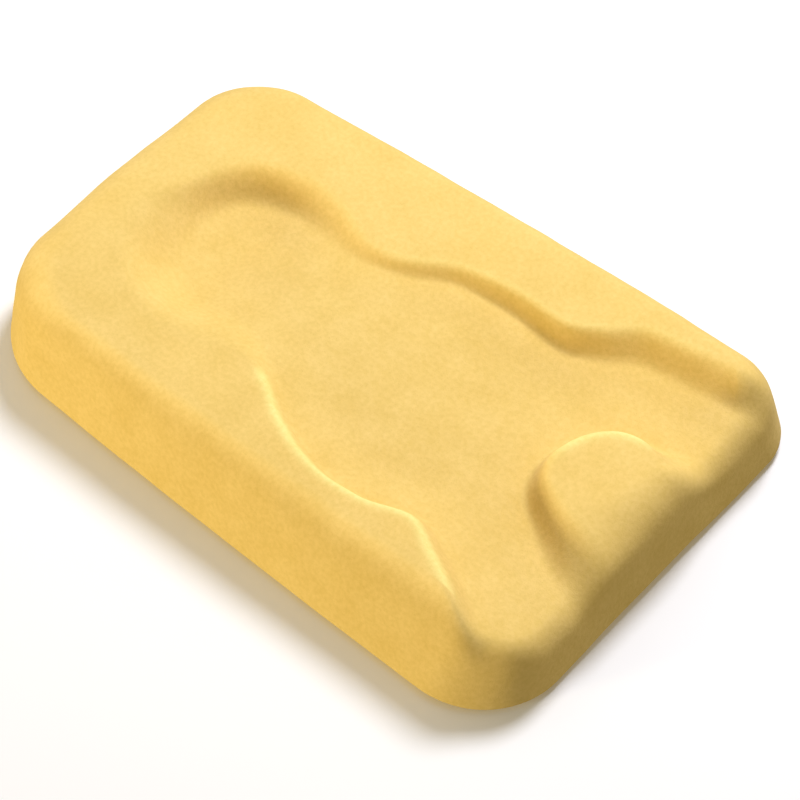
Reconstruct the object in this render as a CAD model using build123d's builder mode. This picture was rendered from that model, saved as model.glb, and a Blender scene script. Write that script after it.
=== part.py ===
"""Infant bath support: one moulded block of soft foam with a body-shaped recess in its top.

The baby lies on its back in the recess, head towards -X and feet towards +X.  Two leg channels
run out through the +X end, either side of a low ridge that keeps the baby from sliding down.
Frame: +X along the length, +Z up, origin at the middle of the underside.  Units: millimetres.
"""

import os

from build123d import *

# Block: its outline is at the underside, before that edge is rounded
LENGTH = 615.0
HEIGHT = 96.0
HEAD_HALF_WIDTH = 178.0
FOOT_HALF_WIDTH = 210.0
SIDE_BOW = 5.0  # each long side bulges this far beyond its corners
HEAD_BOW = 8.0  # the same for the head end
FOOT_BOW = 3.0  # and for the foot end
HEAD_CORNER_R = 86.0
FOOT_CORNER_R = 62.0
SIDE_DRAFT = 8.0  # degrees that the sides lean inwards as they rise
TOP_EDGE_R = 24.0
BOTTOM_EDGE_R = 10.0

HALF_LENGTH = LENGTH / 2
OPEN_END_X = HALF_LENGTH + 30.0  # what cuts the block reaches this far, past its foot end

# Recess: depths below the rim, and the rim's line as X, Y, which sits a little towards -Y
RECESS_DEPTH = 34.0
NECK_DEPTH = 18.0
WALL_RUN = 18.0  # the wall slopes this far inwards on its way down
HEAD_X, HEAD_RIM_R, HEAD_FLOOR_R = -144.0, 88.0, 40.0
NECK_START_X = -112.0
NECK_X = -60.0
SEAT_X = 110.0  # the raised neck slopes down as far as here
LEFT_RIM = (
    (NECK_START_X, 80.0),
    (NECK_X, 70.0),
    (20.0, 102.0),
    (70.0, 110.0),
    (125.0, 110.0),
    (188.0, 147.0),
    (240.0, 164.0),
    (OPEN_END_X, 190.0),
)
RIGHT_RIM = (
    (NECK_START_X, -82.0),
    (NECK_X, -88.0),
    (18.0, -131.0),
    (68.0, -146.0),
    (112.0, -145.0),
    (153.0, -132.0),
    (195.0, -148.0),
    (240.0, -160.0),
    (OPEN_END_X, -196.0),
)
CHANNEL_LIP_R = 14.0  # rounding where the leg channels run out through the foot end

# Ridge between the legs: steep towards +Y and gentle towards -Y.  Each line runs from the open end
# round the tip and back.
RIDGE_DROP = 7.0  # its crest is this far below the rim
RIDGE_FOOT_LINE = (
    (OPEN_END_X, -116.0),
    (248.0, -90.0),
    (206.0, -54.0),
    (182.0, -12.0),
    (203.0, 36.0),
    (246.0, 66.0),
    (OPEN_END_X, 72.0),
)
RIDGE_CREST_LINE = (
    (OPEN_END_X, -68.0),
    (260.0, -46.0),
    (228.0, -28.0),
    (212.0, -4.0),
    (224.0, 30.0),
    (254.0, 48.0),
    (OPEN_END_X, 54.0),
)
RIDGE_CREST_R = 6.0

TOUCH = 0.1  # an edge this close to a height is at that height
RIM_Z = HEIGHT
FLOOR_Z = HEIGHT - RECESS_DEPTH
NECK_Z = HEIGHT - NECK_DEPTH
CREST_Z = HEIGHT - RIDGE_DROP


def footprint():
    """The block's outline on the floor: four bowed sides that meet at sharp corners."""
    head_x = HEAD_BOW - HALF_LENGTH
    foot_x = HALF_LENGTH - FOOT_BOW
    side_y = (HEAD_HALF_WIDTH + FOOT_HALF_WIDTH) / 2 + SIDE_BOW
    ThreePointArc((foot_x, FOOT_HALF_WIDTH), (0, side_y), (head_x, HEAD_HALF_WIDTH))
    ThreePointArc((head_x, HEAD_HALF_WIDTH), (-HALF_LENGTH, 0), (head_x, -HEAD_HALF_WIDTH))
    ThreePointArc((head_x, -HEAD_HALF_WIDTH), (0, -side_y), (foot_x, -FOOT_HALF_WIDTH))
    ThreePointArc((foot_x, -FOOT_HALF_WIDTH), (HALF_LENGTH, 0), (foot_x, FOOT_HALF_WIDTH))


def body_outline(inset):
    """Neck, torso and legs, moved inwards by inset and open past the foot end."""
    left = Spline(*[(x, y - inset) for x, y in LEFT_RIM])
    right = Spline(*[(x, y + inset) for x, y in RIGHT_RIM])
    Line(left @ 0, right @ 0)
    Line(left @ 1, right @ 1)


def ridge_outline(line):
    """The ridge between the legs at one height, open past the foot end."""
    edge = Spline(*line)
    Line(edge @ 0, edge @ 1)


# The space that the recess takes out of the block
with BuildPart() as recess:
    # neck, body and legs, to one depth
    with BuildSketch(Plane.XY.offset(FLOOR_Z)):
        with BuildLine():
            body_outline(WALL_RUN)
        make_face()
    with BuildSketch(Plane.XY.offset(RIM_Z)):
        with BuildLine():
            body_outline(0)
        make_face()
    loft()
    # the ridge between the legs stays standing
    with BuildSketch(Plane.XY.offset(FLOOR_Z)):
        with BuildLine():
            ridge_outline(RIDGE_FOOT_LINE)
        make_face()
    with BuildSketch(Plane.XY.offset(CREST_Z)):
        with BuildLine():
            ridge_outline(RIDGE_CREST_LINE)
        make_face()
    loft(mode=Mode.SUBTRACT)
    crest = recess.edges().filter_by_position(Axis.Z, CREST_Z - TOUCH, CREST_Z + TOUCH)
    fillet(crest.filter_by(GeomType.BSPLINE), RIDGE_CREST_R)
    # so does the raised rest under the neck
    with BuildSketch(Plane.XZ):
        with BuildLine():
            Line((NECK_START_X, FLOOR_Z), (NECK_START_X, NECK_Z))
            Line((NECK_START_X, NECK_Z), (NECK_X, NECK_Z))
            Spline((NECK_X, NECK_Z), (SEAT_X, FLOOR_Z), tangents=[(1, 0), (1, 0)])
            Line((SEAT_X, FLOOR_Z), (NECK_START_X, FLOOR_Z))
        make_face()
    extrude(amount=FOOT_HALF_WIDTH, both=True, mode=Mode.SUBTRACT)
    # the round bowl for the head
    with BuildSketch(Plane.XZ.move(Location((HEAD_X, 0, 0)))):
        with BuildLine():
            Line((0, RIM_Z), (HEAD_RIM_R, RIM_Z))
            EllipticalCenterArc(
                (HEAD_FLOOR_R, RIM_Z),
                HEAD_RIM_R - HEAD_FLOOR_R,
                RECESS_DEPTH,
                start_angle=-90,
                arc_size=90,
            )
            Line((HEAD_FLOOR_R, FLOOR_Z), (0, FLOOR_Z))
            Line((0, FLOOR_Z), (0, RIM_Z))
        make_face()
    revolve(axis=Axis((HEAD_X, 0, 0), (0, 0, 1)))

with BuildPart() as foam_body:
    with BuildSketch():
        with BuildLine():
            footprint()
        make_face()
        fillet(vertices().sort_by(Axis.X)[:2], HEAD_CORNER_R)
        fillet(vertices().sort_by(Axis.X)[-2:], FOOT_CORNER_R)
    extrude(amount=HEIGHT, taper=SIDE_DRAFT)
    fillet(foam_body.faces().sort_by(Axis.Z)[-1].edges(), TOP_EDGE_R)
    fillet(foam_body.faces().sort_by(Axis.Z)[0].edges(), BOTTOM_EDGE_R)
    add(recess.part, mode=Mode.SUBTRACT)
    floor_edges = foam_body.edges().filter_by_position(Axis.Z, FLOOR_Z - TOUCH, FLOOR_Z + TOUCH)
    lips = floor_edges.filter_by_position(Axis.X, HALF_LENGTH - FOOT_CORNER_R, HALF_LENGTH)
    fillet(lips.filter_by(GeomType.CIRCLE), CHANNEL_LIP_R)

foam_body.part.label = "foam_body"
os.makedirs("parts", exist_ok=True)
export_step(foam_body.part, "parts/foam_body.step")
print("volume, litres:", round(foam_body.part.volume / 1e6, 3))
print("box:", foam_body.part.bounding_box())
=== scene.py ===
"""Foam infant bath support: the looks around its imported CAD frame.  Lengths are in metres.

The real object is one block of soft foam, so one piece, foam_surface, stands for the one CAD node.
Its frame is the CAD's: +X from the head end to the foot end, +Z up, origin under its middle.  The
-Y side is called near below and the +Y side far, as the camera sees them.
"""

import math

import bpy
import numpy as np
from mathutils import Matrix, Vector, noise


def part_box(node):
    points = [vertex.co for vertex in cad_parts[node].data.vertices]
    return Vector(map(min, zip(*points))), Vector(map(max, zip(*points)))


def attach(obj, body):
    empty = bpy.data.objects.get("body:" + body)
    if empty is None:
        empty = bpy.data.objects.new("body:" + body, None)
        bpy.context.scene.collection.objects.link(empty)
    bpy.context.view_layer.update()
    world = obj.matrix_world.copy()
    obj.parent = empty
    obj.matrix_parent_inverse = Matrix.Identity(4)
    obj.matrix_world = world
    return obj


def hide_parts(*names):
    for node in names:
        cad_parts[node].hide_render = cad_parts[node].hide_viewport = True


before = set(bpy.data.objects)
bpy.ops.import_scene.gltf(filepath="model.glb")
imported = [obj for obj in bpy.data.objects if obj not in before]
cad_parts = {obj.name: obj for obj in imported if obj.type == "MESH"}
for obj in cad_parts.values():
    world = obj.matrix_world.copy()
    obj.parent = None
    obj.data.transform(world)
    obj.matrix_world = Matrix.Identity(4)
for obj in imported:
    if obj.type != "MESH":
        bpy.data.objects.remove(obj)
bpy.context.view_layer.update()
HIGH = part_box("foam_body")[1]

# The block's length and height come from the CAD node's box
HEIGHT = HIGH.z
HALF_LENGTH = HIGH.x

# Outline at the floor, and where the upper edge starts to round over
FLOOR_HALF_WIDTH, FLOOR_SPLAY = 0.194, 0.052  # half width at x = 0, and its gain per metre of x
EDGE_HALF_WIDTH, EDGE_SPLAY = 0.1834, 0.037
# Corner radii at those two levels: head near, foot near, foot far, head far
FLOOR_CORNERS = (0.090, 0.076, 0.050, 0.086)
EDGE_CORNERS = (0.083, 0.058, 0.044, 0.072)
CORNER_POINTS = 40  # an even number of steps round each corner
HEAD_LEAN, FOOT_LEAN = 0.009, 0.005
HEAD_BOW = 0.008
HEAD_BOW_FADE = (0.10, 0.25)  # distances towards the head between which its bow sets in
SIDE_BOW = 0.004
FLOOR_ROUND = 0.010
EDGE_DROP = 0.036  # the rounded upper edge starts this far below the rim
EDGE_RUN = {"side": 0.0185, "head": 0.034, "foot": 0.029}  # and ends this far in
CORNER_TIGHTENING = 0.6  # how much of the side's run the corner radii lose on the way in
EDGE_SQUARENESS = 0.95  # 1 rounds it as an ellipse, and less makes a fuller curve
# The sides go on leaning through the rounded edge.  On their scale of 0 at the floor and 1 where
# that edge starts, this is the rim.
TOP_LEVEL = (HEIGHT - FLOOR_ROUND) / (HEIGHT - EDGE_DROP - FLOOR_ROUND)

# Recess
# The floor's depth below the rim at stations along X: deep head, raised neck, then down to the seat
FLOOR_STATIONS = (
    (-0.150, 0.033),
    (-0.070, 0.015),
    (-0.010, 0.015),
    (0.060, 0.023),
    (0.140, 0.031),
)
# The upper part of the wall, from the crown of the head round one side to the foot end
FAR_WALL = (
    (-0.214, -0.004),
    (-0.204, 0.040),
    (-0.181, 0.067),
    (-0.143, 0.078),
    (-0.106, 0.075),
    (-0.062, 0.062),
    (-0.024, 0.070),
    (0.018, 0.093),
    (0.070, 0.102),
    (0.125, 0.102),
    (0.155, 0.116),
    (0.185, 0.136),
    (0.232, 0.145),
    (0.275, 0.149),
    (0.330, 0.151),
)
NEAR_WALL = (
    (-0.214, -0.004),
    (-0.205, -0.046),
    (-0.182, -0.071),
    (-0.146, -0.082),
    (-0.108, -0.080),
    (-0.066, -0.080),
    (-0.026, -0.096),
    (0.015, -0.122),
    (0.060, -0.137),
    (0.105, -0.137),
    (0.153, -0.122),
    (0.190, -0.138),
    (0.230, -0.161),
    (0.258, -0.186),
    (0.288, -0.222),
    (0.330, -0.280),
)
# How wide the wall's slope is.  A fade is a stretch over which one thing gives way to another.
WALL_RUN_HEAD = 0.034
WALL_RUN_SOFT = 0.072  # round the head's crown and its near side
WALL_RUN_BODY = 0.015
WALL_RUN_LEGS = 0.030
NEAR_EXTRA_BODY = 0.003
NEAR_EXTRA_FOOT = 0.020
HEAD_FADE = (-0.125, -0.015)
LEGS_FADE = (0.110, 0.190)
FOOT_FADE = (0.225, 0.285)
NEAR_FADE = (0.0, 0.050)
SOFT_FADE = (-0.045, 0.035)
SOFT_SLANT, SOFT_X = 0.35, -0.22  # its soft side starts along a line that slants from here
WALL_SHARE = 0.74  # the wall takes this much of the depth
FLOOR_DISH = 0.045  # and the floor dips by the rest over this much more

# Ridge between the legs: the middle of its slope, from the foot end round its tip and back
RIDGE_LINE = (
    (0.330, -0.086),
    (0.285, -0.074),
    (0.247, -0.061),
    (0.222, -0.048),
    (0.202, -0.032),
    (0.193, -0.010),
    (0.197, 0.018),
    (0.209, 0.041),
    (0.230, 0.056),
    (0.260, 0.059),
    (0.330, 0.050),
)
RIDGE_RISE = 0.029
RIDGE_RUN_STEEP = 0.024  # its far slope
RIDGE_RUN_STEEP_GAIN = 0.055  # and how much wider that is at the foot end
RIDGE_RUN_TIP = 0.023
RIDGE_RUN_END = 0.054  # its near slope at the foot end
STEEP_GAIN_FADE = (0.240, 0.300)
TIP_TO_END_FADE = (0.190, 0.310)
GENTLE_FADE = (-0.030, 0.030)
RIDGE_SLUMP = 0.9  # how much more widely its foot end is rounded, on the near side
SLUMP_Y, SLUMP_HALF_WIDTH = -0.045, 0.036
SLUMP_FADE = (0.150, 0.210)

# Painted highlight: paler colour along the upper edge of the recess and the crest of the ridge, where
# their slopes face the light from the far side
RIM_HIGHLIGHT_SHARE, RIM_HIGHLIGHT_HALF_WIDTH = 0.16, 0.0050  # how far down the slope, as a share of its run
CREST_HIGHLIGHT_SHARE, CREST_HIGHLIGHT_HALF_WIDTH = 0.28, 0.0075
CREST_HIGHLIGHT_GAIN = 1.2
FAR_HIGHLIGHT = 0.20  # how strong the far side's painted highlight is, where the near one's is 1
RIM_HIGHLIGHT_STARTS = (-0.050, -0.030)
RIM_HIGHLIGHT_ENDS = (0.210, 0.250)
CREST_HIGHLIGHT_ENDS = (0.236, 0.266)

# Unevenness of cut foam: how far its slow and quick waves move the surface, and their sizes
UNEVENNESS = 0.0014
NOISE_SEED = 1  # unset, the noise would differ from run to run
QUICK_SHARE = 0.35
SLOW_WAVE, QUICK_WAVE = 0.085, 0.028
FLAT_BELOW = 0.020  # it fades out below this height, so that the underside stays flat

# Mesh fineness
CELLS_LONG = 200
CELLS_SHORT = 130
SIDE_RINGS = 20
ROUND_RINGS = 12
STATION_POINTS = 16
WALL_POINTS = 12

# How the rounding of the upper edge dies out where a channel has already lowered the foam
EDGE_SAMPLE = 0.7  # the foam's height is read this far across the rounding
FULLNESS_LOSS = 1.6
SMOOTHING = 24  # points to each side over which that is evened out

# Camera: a long lens from above the foot end's near corner
CAMERA_AZIMUTH, CAMERA_ELEVATION = 40.2, 51.2
CAMERA_DISTANCE = 3.0
CAMERA_LENS, CAMERA_SENSOR = 159.75, 36.0
CAMERA_SHIFT = (0.03725, -0.04975)
CAMERA_REACH = 50.0

FLOOR_SIZE = 6.0


def ramp(value, fade):
    """0 before the fade, 1 after it, and a smooth S between, with flat ends."""
    start, end = fade
    t = np.clip((value - start) / (end - start), 0.0, 1.0)
    return t * t * t * (t * (6.0 * t - 15.0) + 10.0)


def stripe(offset, half_width):
    """1 at the stripe's middle, falling softly to 0 on both sides."""
    return np.exp(-((offset / half_width) ** 2))


def spline(points, per_span):
    """A Catmull-Rom curve through the points."""
    p = np.array(points, float)
    p = np.vstack([2 * p[0] - p[1], p, 2 * p[-1] - p[-2]])
    t = np.linspace(0.0, 1.0, per_span, endpoint=False)[:, None]
    spans = []
    for a, b, c, d in zip(p[:-3], p[1:-2], p[2:-1], p[3:]):
        square = (2 * a - 5 * b + 4 * c - d) * t**2
        cube = (3 * b - a - 3 * c + d) * t**3
        spans.append(0.5 * (2 * b + (c - a) * t + square + cube))
    spans.append(p[-2:-1])
    return np.vstack(spans)


def inside_distance(line, x, y):
    """How far each point lies inside the open curve; negative outside it.

    The curve's two ends are joined by a straight line that counts as no edge.
    """
    distance = np.full(x.shape, 1.0)
    inside = np.zeros(x.shape, bool)
    closed = np.vstack([line, line[:1]])
    for k in range(len(closed) - 1):
        ax, ay = closed[k]
        bx, by = closed[k + 1]
        if k < len(line) - 1:
            dx, dy = bx - ax, by - ay
            t = np.clip(((x - ax) * dx + (y - ay) * dy) / (dx * dx + dy * dy), 0.0, 1.0)
            distance = np.minimum(distance, np.hypot(x - ax - t * dx, y - ay - t * dy))
        if ay != by:
            crosses = (ay > y) != (by > y)
            inside ^= crosses & (x < (bx - ax) * (y - ay) / (by - ay) + ax)
    return np.where(inside, distance, -distance)


def wall_run(x, y):
    """How wide the slope of the recess wall is, at each point."""
    head = 1.0 - ramp(x, HEAD_FADE)
    legs = ramp(x, LEGS_FADE)
    near = ramp(-y, NEAR_FADE)
    soft = head * ramp(-y - SOFT_SLANT * (x - SOFT_X), SOFT_FADE)
    run = WALL_RUN_BODY
    run = run + (WALL_RUN_HEAD - WALL_RUN_BODY) * head
    run = run + (WALL_RUN_LEGS - WALL_RUN_BODY) * legs
    run = run + (WALL_RUN_SOFT - WALL_RUN_HEAD) * soft
    run = run + near * NEAR_EXTRA_BODY * (1.0 - head) * (1.0 - legs)
    return run + near * NEAR_EXTRA_FOOT * ramp(x, FOOT_FADE)


def ridge_run(x, y):
    """How wide the slope of the ridge is, at each point."""
    gentle_side = RIDGE_RUN_TIP + (RIDGE_RUN_END - RIDGE_RUN_TIP) * ramp(x, TIP_TO_END_FADE)
    steep_side = RIDGE_RUN_STEEP + RIDGE_RUN_STEEP_GAIN * ramp(x, STEEP_GAIN_FADE)
    return steep_side + (gentle_side - steep_side) * ramp(-y, GENTLE_FADE)


def top_surface(x, y):
    """The foam's upper surface before its outer edge is rounded: its height, and how much painted
    highlight it takes.

    A painted highlight, where 0 is none, lightens the colour along the upper edges of the recess and
    the ridge, strongest where they face the light from the far side.
    """
    stations = spline(FLOOR_STATIONS, STATION_POINTS)
    depth = np.interp(x, stations[:, 0], stations[:, 1])
    run = wall_run(x, y)
    into = inside_distance(spline(NEAR_WALL[::-1] + FAR_WALL[1:], WALL_POINTS), x, y) + run / 2
    wall = ramp(into, (0.0, run))
    dish = ramp(into, (0.0, run + FLOOR_DISH))
    recess = depth * (WALL_SHARE * wall + (1.0 - WALL_SHARE) * dish)

    slope = ridge_run(x, y)
    onto = inside_distance(spline(RIDGE_LINE, WALL_POINTS), x, y)
    ridge = RIDGE_RISE * ramp(onto, (-slope / 2, slope / 2))

    # Painted highlight: full along the near rim, weaker along the far rim, and on the ridge's far slope
    side = FAR_HIGHLIGHT + (1.0 - FAR_HIGHLIGHT) * ramp(-y, NEAR_FADE)
    along = ramp(x, RIM_HIGHLIGHT_STARTS) * (1.0 - ramp(x, RIM_HIGHLIGHT_ENDS))
    rim = stripe(into - RIM_HIGHLIGHT_SHARE * run, RIM_HIGHLIGHT_HALF_WIDTH) * side * along
    crest = CREST_HIGHLIGHT_GAIN * stripe(onto - CREST_HIGHLIGHT_SHARE * slope, CREST_HIGHLIGHT_HALF_WIDTH)
    crest = crest * (1.0 - ramp(-y, GENTLE_FADE)) * (1.0 - ramp(x, CREST_HIGHLIGHT_ENDS))
    return HEIGHT - recess + ridge, rim + crest


def outline(level, rounding):
    """The block's outline as a ring of points, from the middle of its head near corner.

    level runs from 0 at the floor to 1 at the start of the upper edge and on past it, and rounding
    from 0 there to 1 at that edge's inner end.
    """
    half = FLOOR_HALF_WIDTH + (EDGE_HALF_WIDTH - FLOOR_HALF_WIDTH) * level - EDGE_RUN["side"] * rounding
    splay = FLOOR_SPLAY + (EDGE_SPLAY - FLOOR_SPLAY) * level
    head_x = -HALF_LENGTH + HEAD_LEAN * level + EDGE_RUN["head"] * rounding
    foot_x = HALF_LENGTH - FOOT_LEAN * level - EDGE_RUN["foot"] * rounding
    turns = ((head_x, -1, -1, 180), (foot_x, 1, -1, 270), (foot_x, 1, 1, 0), (head_x, -1, 1, 90))
    corners = []
    for turn, at_floor, at_edge in zip(turns, FLOOR_CORNERS, EDGE_CORNERS):
        end_x, sign_x, sign_y, start = turn
        r = at_floor + (at_edge - at_floor) * level
        r -= CORNER_TIGHTENING * EDGE_RUN["side"] * rounding
        cx = end_x - sign_x * r
        cy = sign_y * (half + splay * cx - r)
        angles = np.radians(np.linspace(start, start + 90, CORNER_POINTS + 1))
        corners.append(np.column_stack([cx + r * np.cos(angles), cy + r * np.sin(angles)]))
    middle = CORNER_POINTS // 2
    sides = []
    for k, cells in enumerate((CELLS_LONG, CELLS_SHORT, CELLS_LONG, CELLS_SHORT)):
        path = np.vstack([corners[k][middle:], corners[(k + 1) % 4][: middle + 1]])
        travelled = np.concatenate([[0.0], np.cumsum(np.hypot(*np.diff(path, axis=0).T))])
        wanted = np.linspace(0.0, travelled[-1], cells + 1)[:-1]
        sides.append(np.column_stack([np.interp(wanted, travelled, path[:, i]) for i in (0, 1)]))
    return np.vstack(sides)


def bowed(points):
    """The points with the head end drawn in at its corners, and the long sides bowed outwards."""
    x, y = points[..., 0], points[..., 1]
    across = np.clip(np.abs(y) / EDGE_HALF_WIDTH, 0.0, 1.0)
    along = np.clip(np.abs(x) / HALF_LENGTH, 0.0, 1.0)
    points[..., 0] = x + HEAD_BOW * across**2 * ramp(-x, HEAD_BOW_FADE)
    points[..., 1] = y + SIDE_BOW * (1.0 - along**2) * y / EDGE_HALF_WIDTH
    return points


def patch(ring):
    """A grid of points that fills the ring, by blending its four sides."""
    n, m = CELLS_LONG, CELLS_SHORT
    near = ring[: n + 1]
    foot = ring[n : n + m + 1]
    far = ring[n + m : 2 * n + m + 1][::-1]
    head = np.vstack([ring[2 * n + m :], ring[:1]])[::-1]
    u = np.linspace(0, 1, n + 1)[:, None, None]
    v = np.linspace(0, 1, m + 1)[None, :, None]
    along = (1 - v) * near[:, None] + v * far[:, None]
    across = (1 - u) * head[None] + u * foot[None]
    square = (1 - u) * (1 - v) * near[0] + u * (1 - v) * near[-1]
    square = square + (1 - u) * v * far[0] + u * v * far[-1]
    return along + across - square


def edge_fullness():
    """How much of the upper edge's rounding each point of a ring takes, as a column.

    A channel has already lowered the foam at the edge, so the rounding dies out there; the ridge's
    foot end slumps, so it takes more.
    """
    edge = bowed(outline(TOP_LEVEL, EDGE_SAMPLE))
    x, y = edge[:, 0], edge[:, 1]
    lowered = 1.0 - top_surface(x, y)[0] / HEIGHT
    fullness = np.clip(1.0 - FULLNESS_LOSS * lowered, 0.0, 1.0)
    wrapped = np.concatenate([fullness[-SMOOTHING:], fullness, fullness[:SMOOTHING]])
    window = np.hanning(2 * SMOOTHING + 3)[1:-1]
    fullness = np.convolve(wrapped, window / window.sum(), "valid")
    slump = stripe(y - SLUMP_Y, SLUMP_HALF_WIDTH) * ramp(x, SLUMP_FADE)
    return (fullness + RIDGE_SLUMP * slump)[:, None]


def ring_levels():
    """For each ring from the floor up: its level, its rounding, how far it tucks in, its height."""
    edge_start = HEIGHT - EDGE_DROP
    side_height = edge_start - FLOOR_ROUND
    levels = []
    for angle in np.linspace(0, math.pi / 2, ROUND_RINGS + 1)[:-1]:
        tuck = FLOOR_ROUND * (1 - math.sin(angle))
        levels.append((0.0, 0.0, tuck, FLOOR_ROUND * (1 - math.cos(angle))))
    for t in np.linspace(0, 1, SIDE_RINGS + 1)[:-1]:
        levels.append((t, 0.0, 0.0, FLOOR_ROUND + t * side_height))
    for angle in np.linspace(0, math.pi / 2, ROUND_RINGS + 1):
        up = math.sin(angle) ** EDGE_SQUARENESS
        across = math.cos(angle) ** EDGE_SQUARENESS
        z = edge_start + EDGE_DROP * up
        levels.append(((z - FLOOR_ROUND) / side_height, 1 - across, 0.0, z))
    return levels


def foam_points():
    """The closed surface: its rings from the floor up, its top as x, y, z, painted highlight, its
    underside.
    """
    fullness = edge_fullness()

    def ring_at(level, rounding):
        straight = outline(level, 0.0) * (1.0 - fullness)
        return bowed(straight + outline(level, rounding) * fullness)

    inner = ring_at(TOP_LEVEL, 1.0)
    local = top_surface(inner[:, 0], inner[:, 1])[0] / HEIGHT
    rings = []
    for level, rounding, tuck, z in ring_levels():
        ring = ring_at(level, rounding) * (1.0 - tuck / FLOOR_HALF_WIDTH)
        rings.append(np.column_stack([ring, z * local]))
    top_flat = patch(inner)
    height, painted_light = top_surface(top_flat[..., 0], top_flat[..., 1])
    under_flat = bowed(patch(outline(0.0, 0.0))) * (1.0 - FLOOR_ROUND / FLOOR_HALF_WIDTH)
    under = np.dstack([under_flat, np.zeros(under_flat.shape[:2])])
    return rings, np.dstack([top_flat, height, painted_light]), under


def uneven(point):
    """The point moved by up to a millimetre or so, as cut foam never comes out quite true."""
    p = Vector(point)
    amount = UNEVENNESS * min(p.z / FLAT_BELOW, 1.0)
    slow = noise.noise_vector(p / SLOW_WAVE)
    quick = noise.noise_vector(p / QUICK_WAVE) * QUICK_SHARE
    return tuple(p + (slow + quick) * amount)


def cap_index(first_of_ring, next_free):
    """The vertex number at each point of a cap's grid: its rim is the ring, and the rest is new."""
    n, m = CELLS_LONG, CELLS_SHORT
    index = np.zeros((n + 1, m + 1), int)
    index[1:n, 1:m] = next_free + np.arange((n - 1) * (m - 1)).reshape(n - 1, m - 1)
    index[: n + 1, 0] = first_of_ring + np.arange(n + 1)
    index[n, 1:] = first_of_ring + n + np.arange(1, m + 1)
    index[:n, m] = first_of_ring + 2 * n + m - np.arange(n)
    index[0, 1:m] = first_of_ring + 2 * n + 2 * m - np.arange(1, m)
    return index


def build_foam():
    """The foam as one closed mesh, with a point attribute that carries the painted highlight."""
    noise.seed_set(NOISE_SEED)
    rings, top, under = foam_points()
    count = len(rings[0])
    verts = [tuple(p) for ring in rings for p in ring]
    highlight_values = [0.0] * len(verts)
    faces = []
    for k in range(len(rings) - 1):
        for i in range(count):
            j = (i + 1) % count
            low, high = k * count, (k + 1) * count
            faces.append((low + i, low + j, high + j, high + i))
    for grid, first_of_ring, is_top in ((top, (len(rings) - 1) * count, True), (under, 0, False)):
        index = cap_index(first_of_ring, len(verts)).tolist()
        for row in grid[1:-1, 1:-1]:
            verts.extend(tuple(p[:3]) for p in row)
            highlight_values.extend(float(p[3]) if is_top else 0.0 for p in row)
        for row, next_row in zip(index[:-1], index[1:]):
            for j in range(CELLS_SHORT):
                quad = (row[j], next_row[j], next_row[j + 1], row[j + 1])
                faces.append(quad if is_top else quad[::-1])
    mesh = bpy.data.meshes.new("foam_surface")
    mesh.from_pydata([uneven(v) for v in verts], [], faces)
    mesh.attributes.new("painted_edge_highlight", "FLOAT", "POINT").data.foreach_set("value", highlight_values)
    mesh.polygons.foreach_set("use_smooth", [True] * len(mesh.polygons))
    mesh.update()
    piece = bpy.data.objects.new("foam_surface", mesh)
    bpy.context.scene.collection.objects.link(piece)
    return piece


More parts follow.
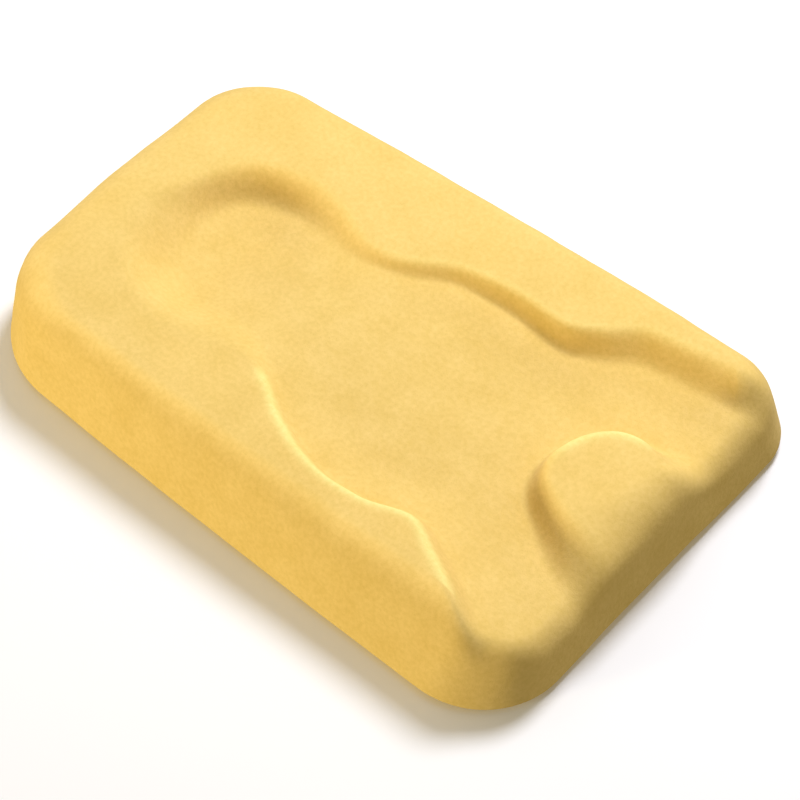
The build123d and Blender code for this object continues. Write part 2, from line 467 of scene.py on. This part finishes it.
def foam_material():
    """Pale yellow open-cell foam: a fine grain, faint mottling and small open pores, and a painted
    highlight along the recess rim and ridge crest.
    """
    material = bpy.data.materials.new("yellow_foam")
    material.use_nodes = True
    nodes, links = material.node_tree.nodes, material.node_tree.links
    shader = nodes["Principled BSDF"]
    shader.inputs["Roughness"].default_value = 0.9
    shader.inputs["Specular IOR Level"].default_value = 0.1
    shader.inputs["Sheen Weight"].default_value = 0.10
    shader.inputs["Sheen Roughness"].default_value = 0.6
    shader.inputs["Sheen Tint"].default_value = (1.0, 0.93, 0.70, 1.0)
    place = nodes.new("ShaderNodeTexCoord").outputs["Object"]

    def spots(texture, scale, detail, low, high):
        """A 0 to 1 pattern that fills the object's space."""
        pattern = nodes.new(texture)
        pattern.inputs["Scale"].default_value = scale
        pattern.inputs["Detail"].default_value = detail
        links.new(place, pattern.inputs["Vector"])
        spread = nodes.new("ShaderNodeMapRange")
        spread.inputs["From Min"].default_value = low
        spread.inputs["From Max"].default_value = high
        links.new(pattern.outputs[0], spread.inputs["Value"])
        return spread.outputs["Result"]

    def tinted(factor, at_zero, at_one):
        """One colour where the pattern is 0, blending to the other where it is 1."""
        mix = nodes.new("ShaderNodeMix")
        mix.data_type = "RGBA"
        mix.inputs[6].default_value = (*at_zero, 1.0)
        mix.inputs[7].default_value = (*at_one, 1.0)
        links.new(factor, mix.inputs[0])
        return mix.outputs[2]

    def times(one, other):
        """The two colours multiplied."""
        mix = nodes.new("ShaderNodeMix")
        mix.data_type = "RGBA"
        mix.blend_type = "MULTIPLY"
        mix.inputs[0].default_value = 1.0
        links.new(one, mix.inputs[6])
        links.new(other, mix.inputs[7])
        return mix.outputs[2]

    # The share of painted highlight at each point, read from the mesh attribute
    edge = nodes.new("ShaderNodeAttribute")
    edge.attribute_name = "painted_edge_highlight"
    mottling = spots("ShaderNodeTexNoise", 26.0, 3.0, 0.30, 0.70)
    grain = spots("ShaderNodeTexNoise", 240.0, 3.0, 0.32, 0.68)
    pores = spots("ShaderNodeTexVoronoi", 620.0, 0.0, 0.05, 0.34)
    colour = tinted(mottling, (0.800, 0.556, 0.165), (0.850, 0.600, 0.196))
    colour = times(colour, tinted(grain, (0.95, 0.945, 0.87), (1.03, 1.03, 1.06)))
    colour = times(colour, tinted(pores, (0.94, 0.93, 0.86), (1.0, 1.0, 1.0)))
    # Painted highlight: lighter, whiter colour along the recess rim and the ridge crest
    colour = times(colour, tinted(edge.outputs["Fac"], (1.0, 1.0, 1.0), (1.15, 1.33, 1.55)))
    links.new(colour, shader.inputs["Base Color"])
    height = nodes.new("ShaderNodeMath")
    height.operation = "ADD"
    links.new(grain, height.inputs[0])
    links.new(pores, height.inputs[1])
    bump = nodes.new("ShaderNodeBump")
    bump.inputs["Strength"].default_value = 0.16
    bump.inputs["Distance"].default_value = 0.0007
    links.new(height.outputs[0], bump.inputs["Height"])
    links.new(bump.outputs["Normal"], shader.inputs["Normal"])
    return material


def studio():
    """A white floor, warm surroundings and soft lights."""
    world = bpy.data.worlds.new("studio")
    bpy.context.scene.world = world
    world.use_nodes = True
    world.node_tree.nodes["Background"].inputs["Color"].default_value = (1.0, 0.93, 0.74, 1)
    world.node_tree.nodes["Background"].inputs["Strength"].default_value = 0.335
    mesh = bpy.data.meshes.new("floor")
    corners = [(x * FLOOR_SIZE, y * FLOOR_SIZE, 0) for x, y in ((-1, -1), (1, -1), (1, 1), (-1, 1))]
    mesh.from_pydata(corners, [], [(0, 1, 2, 3)])
    floor = bpy.data.objects.new("floor", mesh)
    bpy.context.scene.collection.objects.link(floor)
    material = bpy.data.materials.new("floor")
    material.use_nodes = True
    shader = material.node_tree.nodes["Principled BSDF"]
    shader.inputs["Base Color"].default_value = (0.95, 0.95, 0.98, 1)
    shader.inputs["Roughness"].default_value = 1.0
    shader.inputs["Specular IOR Level"].default_value = 0.0
    mesh.materials.append(material)
    floor.visible_diffuse = False  # it throws no light back up at the foam
    light("overhead", (-0.9, 0.2, 2.3), 1.8, 6.0, (1.0, 1.0, 1.0))
    light("key", (-0.12, 1.22, 2.15), 0.8, 51.0, (0.98, 1.0, 1.08))
    light("fill", (-0.9, -2.2, 0.24), 0.4, 38.0, (1.0, 0.86, 0.52))
    light("foot fill", (2.2, 0.6, 0.9), 1.0, 2.5, (1.0, 0.92, 0.72))


def light(name, place, size, power, colour):
    """A round soft light aimed at the block's middle."""
    data = bpy.data.lights.new(name, "AREA")
    data.shape = "DISK"
    data.size = size
    data.energy = power
    data.color = colour
    lamp = bpy.data.objects.new(name, data)
    bpy.context.scene.collection.objects.link(lamp)
    lamp.location = place
    aim = Vector((0, 0, HEIGHT / 2)) - lamp.location
    lamp.rotation_euler = aim.to_track_quat("-Z", "Y").to_euler()


def camera():
    """The scene's camera, aimed past the block's middle by the lens shift."""
    azimuth, elevation = math.radians(CAMERA_AZIMUTH), math.radians(CAMERA_ELEVATION)
    back = Vector(
        (
            math.sin(azimuth) * math.cos(elevation),
            -math.cos(azimuth) * math.cos(elevation),
            math.sin(elevation),
        )
    )
    data = bpy.data.cameras.new("camera")
    data.sensor_width = CAMERA_SENSOR
    data.lens = CAMERA_LENS
    data.shift_x, data.shift_y = CAMERA_SHIFT
    data.clip_end = CAMERA_REACH
    eye = bpy.data.objects.new("camera", data)
    bpy.context.scene.collection.objects.link(eye)
    eye.location = Vector((0, 0, HEIGHT / 2)) + back * CAMERA_DISTANCE
    eye.rotation_euler = back.to_track_quat("Z", "Y").to_euler()
    bpy.context.scene.camera = eye


bpy.context.scene.view_settings.view_transform = "Standard"
piece = build_foam()
piece.data.materials.append(foam_material())
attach(piece, "root")
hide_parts("foam_body")
studio()
camera()
